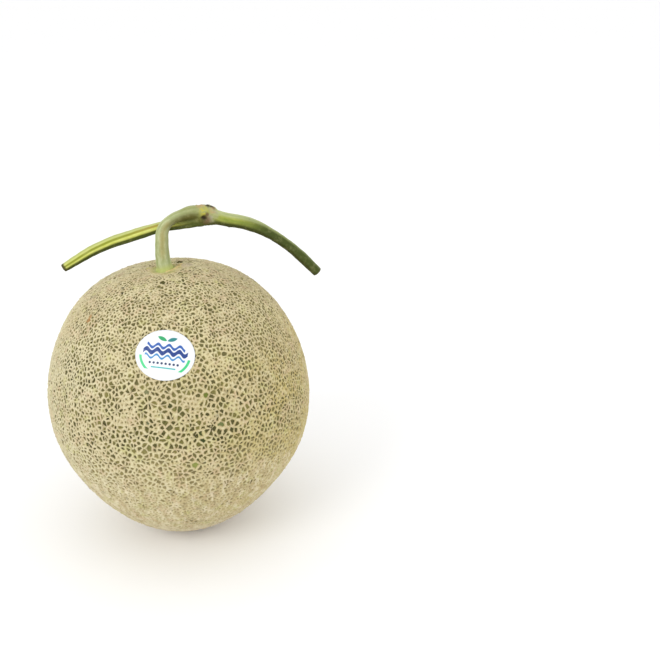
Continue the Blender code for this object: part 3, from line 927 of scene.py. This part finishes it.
def stemMaterial():
    material, tree, shader = newMaterial("greenVine")
    place = addNode(tree, "ShaderNodeTexCoord").outputs["Object"]
    streaks = noise(tree, attribute(tree, "fibre", "Vector"), *stemNoises["streaks"])
    mottle = noise(tree, place, *stemNoises["mottle"])
    blotchy = ramp(tree, noise(tree, place, *stemNoises["blotch"]), *stemLook["blotches"])
    groove = attribute(tree, "groove")
    upward = attribute(tree, "upward")
    paintedShadeBelow = attribute(tree, "paintedShadeBelow")
    nearNode = attribute(tree, "nearNode")

    # Stalk: grey green, with a brown streak down its front, bright green at its foot, and painted shade
    # near the node, down its right side and under its bend
    stalk = overlay(tree, colour(157, 166, 115), (
        (ramp(tree, streaks, 0.35, 0.65), (184, 190, 146)),
        (product(tree, attribute(tree, "streak"), ramp(tree, mottle, 0.3, 0.6, 0.5, 1.0)), (160, 142, 82)),
        (ramp(tree, groove, 0.2, 0.9, 0.0, 0.5), (138, 146, 84)),
        # painted shade near the node
        (product(tree, nearNode, 0.6), (128, 132, 70)),
        (attribute(tree, "paintedRightSideShade"), (138, 138, 86)),
        (paintedShadeBelow, (90, 88, 36)),
        (attribute(tree, "foot"), (178, 186, 110)),
    ))

    # Left arm: yellow ribs, grooves that go from olive to brown, a painted highlight on top, and painted
    # shade on its underside and near the node
    browner = ramp(tree, splitPlace(tree, place)[0], *stemLook["brownFrom"])
    deep = mixColour(tree, browner, colour(130, 136, 26), colour(160, 140, 52))
    yellow = overlay(tree, colour(188, 194, 84), (
        (ramp(tree, streaks, 0.3, 0.7), (208, 211, 116)),
        # painted highlight on top
        (ramp(tree, upward, 0.35, 0.95, 0.0, 0.85), (178, 186, 120)),
    ))
    yellow = mixColour(tree, ramp(tree, groove, 0.15, 0.8, 0.0, 0.9), yellow, deep)
    yellow = overlay(tree, yellow, (
        # painted shade near the node, deepest on the lower faces
        (nearNode, (100, 107, 40)),
        (product(tree, paintedShadeBelow, nearNode, 0.8), (58, 66, 18)),
        # painted shade on the underside
        (ramp(tree, upward, 0.08, -0.38), (70, 80, 24)),
    ))

    # Right arm: leaf green, with a grey painted highlight on top and painted shade below; darker towards
    # the far end, more on its lower faces
    leaf = overlay(tree, colour(136, 146, 50), (
        (ramp(tree, streaks, 0.3, 0.7), (160, 166, 72)),
        # painted highlight on top
        (ramp(tree, upward, 0.35, 0.95, 0.0, 0.8), (184, 190, 142)),
        (ramp(tree, groove, 0.2, 0.9, 0.0, 0.45), (98, 122, 44)),
        (product(tree, attribute(tree, "farEnd"), ramp(tree, upward, 0.90, 0.48, 0.25, 1.0)), (60, 71, 12)),
        # painted shade below
        (ramp(tree, upward, 0.15, -0.5), (56, 63, 18)),
    ))

    shade = mixColour(tree, attribute(tree, "leftArm"), stalk, yellow)
    shade = mixColour(tree, attribute(tree, "rightArm"), shade, leaf)
    shade = overlay(tree, shade, (
        (ramp(tree, mottle, 0.5, 0.75, 0.0, 0.18), (190, 186, 130)),
        (product(tree, attribute(tree, "bright"), blotchy), (178, 172, 70)),
        (product(tree, attribute(tree, "pale"), ramp(tree, mottle, 0.35, 0.6, 0.4, 1.0)), (160, 158, 126)),
        (product(tree, attribute(tree, "cork"), blotchy), (176, 150, 104)),
        (product(tree, attribute(tree, "brown"), ramp(tree, mottle, 0.35, 0.55, 0.25, 0.9)), (108, 84, 56)),
        (attribute(tree, "dark"), (46, 36, 20)),
        (attribute(tree, "cut"), (72, 70, 22)),
    ))
    feed(tree, shader.inputs["Base Color"], shade)
    feed(tree, shader.inputs["Roughness"], stemLook["roughness"])
    feed(tree, shader.inputs["Specular IOR Level"], stemLook["shine"])
    relief = total(tree, streaks, product(tree, mottle, stemLook["mottleBump"]))
    addBump(tree, shader, relief, *stemLook["bump"])
    return material


def bumpiness(points, length):
    return np.array([noiseHeight(Vector(point / length)) for point in points])


def fade(name, distance):
    start, end = stemFades[name]
    return smoothStep(start * mm, end * mm, distance)


def sideShare(around, name):
    # How near each point is to the side of the stalk that has this look, and the look's strength there
    middle, spread, most = stemLook[name]
    return np.exp(-((around - middle) / spread) ** 2), most


def makeStem():
    limbs = {name: limbFrames(route) for name, route in stemRoutes.items()}
    mesh = fusedStem(limbs)
    points = getPoints(mesh)
    places = {name: limbCoordinates(points, limb) for name, limb in limbs.items()}
    levelness = np.array([1.0 - place["steepness"] ** 2 for place in places.values()])
    beyond = np.array([place["beyond"] for place in places.values()])
    nearness = np.exp(-np.clip(beyond, stemLook["deepest"], None) / stemLook["joinSoftness"])
    nearness /= nearness.sum(0)
    fromNode = np.linalg.norm(points - np.array(stemLook["nodeCentre"]) * mm, axis=1)
    calm = fade("grooves", fromNode)

    shift = np.zeros_like(points)
    groove = np.zeros(len(points))
    upward = np.zeros(len(points))
    for share, (name, place) in zip(nearness, places.items()):
        depth = grooveShare(place["around"] - limbTwist[name] * place["along"] / mm, limbGrooves[name])
        shift -= (share * depth * place["radius"] * calm)[:, None] * place["outward"]
        groove += share * depth / max(part for _, part in limbGrooves[name]) * calm
        upward += share * place["outward"][:, 2]
    outward = sum(share[:, None] * place["outward"] for share, place in zip(nearness, places.values()))
    lumps = bumpiness(points, stemLook["lumpLength"])
    shift += outward * (lumps * stemLook["lumpHeight"])[:, None]
    wrinkles = bumpiness(points, stemLook["wrinkleLength"]) * stemLook["wrinkleHeight"]
    shift += outward * (wrinkles * (1.0 - fade("wrinkles", fromNode)))[:, None]

    marks = {kind: np.zeros(len(points)) for kind in ("dark", "brown", "bright", "cork", "pale")}
    for centre, reach, rise, kind in nodeMarks:
        apart = np.linalg.norm(points - np.array(centre) * mm, axis=1) / (reach * mm)
        strength = np.exp(-apart ** 4)
        marks[kind] = np.maximum(marks[kind], strength)
        shift += outward * (strength * rise * mm)[:, None]

    # Where each point lies among the fibres, so that streaks follow the limbs
    best = nearness.argmax(0)
    around = np.radians(np.choose(best, [place["around"] for place in places.values()]))
    along = np.choose(best, [place["along"] for place in places.values()])
    radius = stemLook["fibreRadius"]
    lengths = along / stemLook["fibreLength"] + best
    fibre = np.stack([np.cos(around) * radius, np.sin(around) * radius, lengths], 1)
    layer = mesh.attributes.new("fibre", "FLOAT_VECTOR", "POINT")
    layer.data.foreach_set("vector", fibre.astype(np.float32).ravel())

    stalk = places["stalk"]
    streakSide, streakMost = sideShare(stalk["around"], "streak")
    streak = streakSide * fade("streakStart", stalk["along"]) * fade("streakEnd", stalk["along"])
    # painted shade down the stalk's right side
    paintedRightSideShade, rightMost = sideShare(stalk["around"], "paintedRightSideShade")
    ends = np.minimum(
        np.linalg.norm(points - limbs["leftArm"]["middles"][0], axis=1),
        np.linalg.norm(points - limbs["rightArm"]["middles"][-1], axis=1),
    )
    values = {
        "groove": groove,
        "upward": upward,
        # painted shade on the lower faces where a limb lies level
        "paintedShadeBelow": smoothStep(*stemLook["underUpward"], upward) * (nearness * levelness).sum(0),
        "leftArm": nearness[1],
        "rightArm": nearness[2],
        "streak": streak * streakMost,
        "paintedRightSideShade": paintedRightSideShade * fade("paintedRightSideShade", stalk["along"]) * rightMost,
        "foot": 1.0 - fade("foot", stalk["along"]),
        "nearNode": 1.0 - fade("node", fromNode),
        "farEnd": fade("farEnd", places["rightArm"]["along"]),
        "cut": 1.0 - fade("cut", ends),
    }
    for name, value in {**values, **marks}.items():
        storeOnPoints(mesh, name, value)

    foot = footPlace() + np.array([0.0, 0.0, stemLook["footLift"]])
    setPoints(mesh, points + shift + foot)
    mesh.shade_smooth()
    print("stem:", len(mesh.polygons), "faces")
    return addPiece("stalkAndVine", mesh, stemMaterial())


stem = makeStem()
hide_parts("stem")
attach(stem, "root")


# Label

labelLook = {
    "length": 30.1 * mm,
    "height": 26.0 * mm,
    "azimuth": -4.2,  # degrees, before the fruit's lean
    "elevation": 41.6,
    "turn": -12.5,
    "lift": 0.20 * mm,  # above the crests
    "clearance": 0.14 * mm,  # at least this far above the net
    "imprint": 0.20,  # share of the net's relief that shows through the film
    "thickness": 0.10 * mm,
    "probe": 2.0 * mm,  # the net is felt for this far above and below its crests
    "rings": 26,
    "spokes": 120,
}

labelPrint = {  # a plain pattern, in millimetres from the label's middle
    "film": (229, 232, 237),
    "waves": (  # height, half its thickness, half its length and its ink
        (4.2, 0.75, 9.6, (44, 92, 168)),
        (1.5, 1.15, 11.2, (26, 60, 130)),
        (-1.2, 0.55, 10.2, (62, 134, 190)),
    ),
    "waveHeight": 0.95,
    "waveTurn": 1.15,  # radians in a millimetre
    "leaves": ((-1.0, (40, 160, 100)), (1.0, (34, 128, 128))),  # side and ink
    "leafRounds": ((3.6, 5.4), (1.4, 10.8)),
    "leafRadius": 3.9,
    "dots": (-4.4, 8.0, (30, 52, 92)),  # height, half the row's length and ink
    "dotSpacing": 2.0,
    "dotRadius": 0.62,
    "line": (-6.6, 0.35, 6.2, (74, 178, 176)),  # height, half its thickness, half its length and its ink
    "bands": (0.82, 0.045, -4.4, 3.4, (58, 198, 124)),  # shares of the rim, height, half height and ink
    "roughness": 0.34,
}


def labelFrame():
    azimuth, elevation = math.radians(labelLook["azimuth"]), math.radians(labelLook["elevation"])
    outward = np.array((
        math.sin(azimuth) * math.cos(elevation),
        -math.cos(azimuth) * math.cos(elevation),
        math.sin(elevation),
    ))
    across = np.cross((0.0, 0.0, 1.0), outward)
    across /= np.linalg.norm(across)
    turn = math.radians(labelLook["turn"])
    along = across * math.cos(turn) + np.cross(outward, across) * math.sin(turn)
    return outward, along, np.cross(outward, along)


def flatDisc(name, rings, spokes):
    # A disc of radius 1: its middle, then rings of points from the inside out
    turns = np.arange(spokes) * 2.0 * math.pi / spokes
    circle = np.stack([np.cos(turns), np.sin(turns), np.zeros(spokes)], 1)
    points = [(0.0, 0.0, 0.0)]
    for ring in range(rings):
        points.extend(tuple(point) for point in circle * (ring + 1) / rings)
    faces = [(0, 1 + spoke, 1 + (spoke + 1) % spokes) for spoke in range(spokes)]
    for ring in range(rings - 1):
        inner, outer = 1 + ring * spokes, 1 + (ring + 1) * spokes
        for spoke in range(spokes):
            after = (spoke + 1) % spokes
            faces.append((inner + spoke, outer + spoke, outer + after, inner + after))
    mesh = bpy.data.meshes.new(name)
    mesh.from_pydata(points, [], faces)
    return mesh


def stripe(tree, value, halfWidth, edge=0.10):
    # 1 within the half width of nought and 0 beyond it
    return ramp(tree, math2(tree, "ABSOLUTE", value), halfWidth + edge, halfWidth - edge)


def labelMaterial():
    material, tree, shader = newMaterial("printedFilm")
    spot = attribute(tree, "print", "Vector")
    u, v, _ = splitPlace(tree, spot)
    shade = colour(*labelPrint["film"])

    # Three blue waves across the middle
    curl = math2(tree, "SINE", product(tree, u, labelPrint["waveTurn"]))
    curl = product(tree, curl, labelPrint["waveHeight"])
    for rise, half, reach, ink in labelPrint["waves"]:
        offset = math2(tree, "SUBTRACT", total(tree, v, -rise), curl)
        wave = product(tree, stripe(tree, offset, half), stripe(tree, u, reach))
        shade = mixColour(tree, wave, shade, colour(*ink))

    # Two green leaves at the top, each where two rounds meet
    for side, ink in labelPrint["leaves"]:
        rounds = [(side * x, y, 0.0) for x, y in labelPrint["leafRounds"]]
        apart = [vectorMath(tree, "DISTANCE", spot, middle) for middle in rounds]
        leaf = product(tree, *(stripe(tree, gap, labelPrint["leafRadius"]) for gap in apart))
        shade = mixColour(tree, leaf, shade, colour(*ink))

    # A row of dots and a thin line below it
    rise, reach, ink = labelPrint["dots"]
    spacing, radius = labelPrint["dotSpacing"], labelPrint["dotRadius"]
    turn = swing(tree, math2(tree, "FRACT", product(tree, u, 1.0 / spacing)), spacing / 2.0)
    down = total(tree, v, -rise)
    size = math2(tree, "SQRT", total(tree, product(tree, turn, turn), product(tree, down, down)))
    dots = product(tree, stripe(tree, size, radius, 0.08), stripe(tree, u, reach))
    shade = mixColour(tree, dots, shade, colour(*ink))
    rise, half, reach, ink = labelPrint["line"]
    line = product(tree, stripe(tree, total(tree, v, -rise), half), stripe(tree, u, reach))
    shade = mixColour(tree, line, shade, colour(*ink))

    # Green bands that follow the rim at the lower left and right
    length, height = labelLook["length"] / mm / 2.0, labelLook["height"] / mm / 2.0
    rim = vectorMath(tree, "LENGTH", vectorMath(tree, "MULTIPLY", spot, (1.0 / length, 1.0 / height, 0.0)))
    share, half, rise, reach, ink = labelPrint["bands"]
    band = stripe(tree, total(tree, rim, -share), half, 0.01)
    band = product(tree, band, stripe(tree, total(tree, v, -rise), reach))
    shade = mixColour(tree, band, shade, colour(*ink))

    feed(tree, shader.inputs["Base Color"], shade)
    feed(tree, shader.inputs["Roughness"], labelPrint["roughness"])
    return material


def makeLabel(fruit):
    outward, along, upward = labelFrame()
    mesh = flatDisc("printedLabel", labelLook["rings"], labelLook["spokes"])
    flat = getPoints(mesh)
    flat *= np.array([labelLook["length"] / 2.0, labelLook["height"] / 2.0, 1.0])
    directions = outward * fruitShape["meanRadius"] + flat[:, :1] * along + flat[:, 1:2] * upward
    directions /= np.linalg.norm(directions, axis=1)[:, None]
    crests = fruitSurface(directions, netLook["crest"])
    ways = directions @ leanMatrix().T
    skin = BVHTree.FromObject(fruit, bpy.context.evaluated_depsgraph_get())
    sunk = np.full(len(flat), -netLook["height"])
    probe = labelLook["probe"]
    for index, (crest, way) in enumerate(zip(crests, ways)):
        _, _, _, apart = skin.ray_cast(Vector(crest + way * probe), Vector(-way), 2.0 * probe)
        if apart is not None:
            sunk[index] = probe - apart
    film = labelLook["lift"] + labelLook["imprint"] * np.minimum(sunk, 0.0)
    film = np.maximum(film, sunk + labelLook["clearance"])
    setPoints(mesh, crests + ways * film[:, None])
    layer = mesh.attributes.new("print", "FLOAT_VECTOR", "POINT")
    layer.data.foreach_set("vector", (flat * np.array([1.0, 1.0, 0.0]) / mm).astype(np.float32).ravel())
    mesh.shade_smooth()
    label = addPiece("printedLabel", mesh, labelMaterial())
    wall = label.modifiers.new("thickness", "SOLIDIFY")
    wall.thickness = labelLook["thickness"]
    wall.offset = -1.0
    graph = bpy.context.evaluated_depsgraph_get()
    label.data = bpy.data.meshes.new_from_object(label.evaluated_get(graph))
    label.modifiers.clear()
    print("label:", len(label.data.polygons), "faces")
    return label


label = makeLabel(fruit)
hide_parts("label")
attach(label, "root")


# Floor, light and camera

stageLook = {
    "floorColour": (0.95, 0.95, 0.95, 1.0),
    "floorRoughness": 0.9,
    "floorSize": 40.0,
    "sky": (1.0, 1.0, 1.0, 1.0),
    "skyStrength": 1.05,
    "aim": (0.0, 0.0, 0.08),
    "lights": {  # place, size and power
        "keyLight": ((-1.0, -0.9, 1.0), 0.8, 6.6),
        "fillLight": ((1.1, -0.7, 0.7), 1.0, 1.8),
    },
}

cameraPlace = {
    "location": (-1.6 * mm, -460.4 * mm, 303.0 * mm),
    "lookDown": 22.0,  # degrees
    "turnRight": 10.84,
    "lens": 46.9,
    "sensorWidth": 36.0,
    "clip": (0.01, 50.0),
}


def makeFloor():
    material, tree, shader = newMaterial("paleFloor")
    feed(tree, shader.inputs["Base Color"], stageLook["floorColour"])
    feed(tree, shader.inputs["Roughness"], stageLook["floorRoughness"])
    plane = bmesh.new()
    bmesh.ops.create_grid(plane, x_segments=1, y_segments=1, size=stageLook["floorSize"])
    mesh = bpy.data.meshes.new("floor")
    plane.to_mesh(mesh)
    plane.free()
    addPiece("floor", mesh, material)


def areaLight(name, place, size, power):
    light = bpy.data.lights.new(name, "AREA")
    light.shape = "DISK"
    light.size = size
    light.energy = power
    lamp = bpy.data.objects.new(name, light)
    bpy.context.scene.collection.objects.link(lamp)
    lamp.location = place
    lamp.rotation_euler = (Vector(stageLook["aim"]) - Vector(place)).to_track_quat("-Z", "Y").to_euler()


def makeLight():
    world = bpy.data.worlds.new("studio")
    world.use_nodes = True
    sky = world.node_tree.nodes["Background"]
    sky.inputs["Color"].default_value = stageLook["sky"]
    sky.inputs["Strength"].default_value = stageLook["skyStrength"]
    bpy.context.scene.world = world
    for name, given in stageLook["lights"].items():
        areaLight(name, *given)
    view = bpy.context.scene.view_settings
    view.view_transform = "Standard"
    view.look = "None"


def makeCamera():
    data = bpy.data.cameras.new("camera")
    data.lens = cameraPlace["lens"]
    data.sensor_width = cameraPlace["sensorWidth"]
    data.clip_start, data.clip_end = cameraPlace["clip"]
    camera = bpy.data.objects.new("camera", data)
    bpy.context.scene.collection.objects.link(camera)
    camera.location = cameraPlace["location"]
    tip = math.radians(90.0 - cameraPlace["lookDown"])
    camera.rotation_euler = (tip, 0.0, -math.radians(cameraPlace["turnRight"]))
    bpy.context.scene.camera = camera


makeFloor()
makeLight()
makeCamera()
print("stage: a floor,", len(stageLook["lights"]), "lights and a camera")
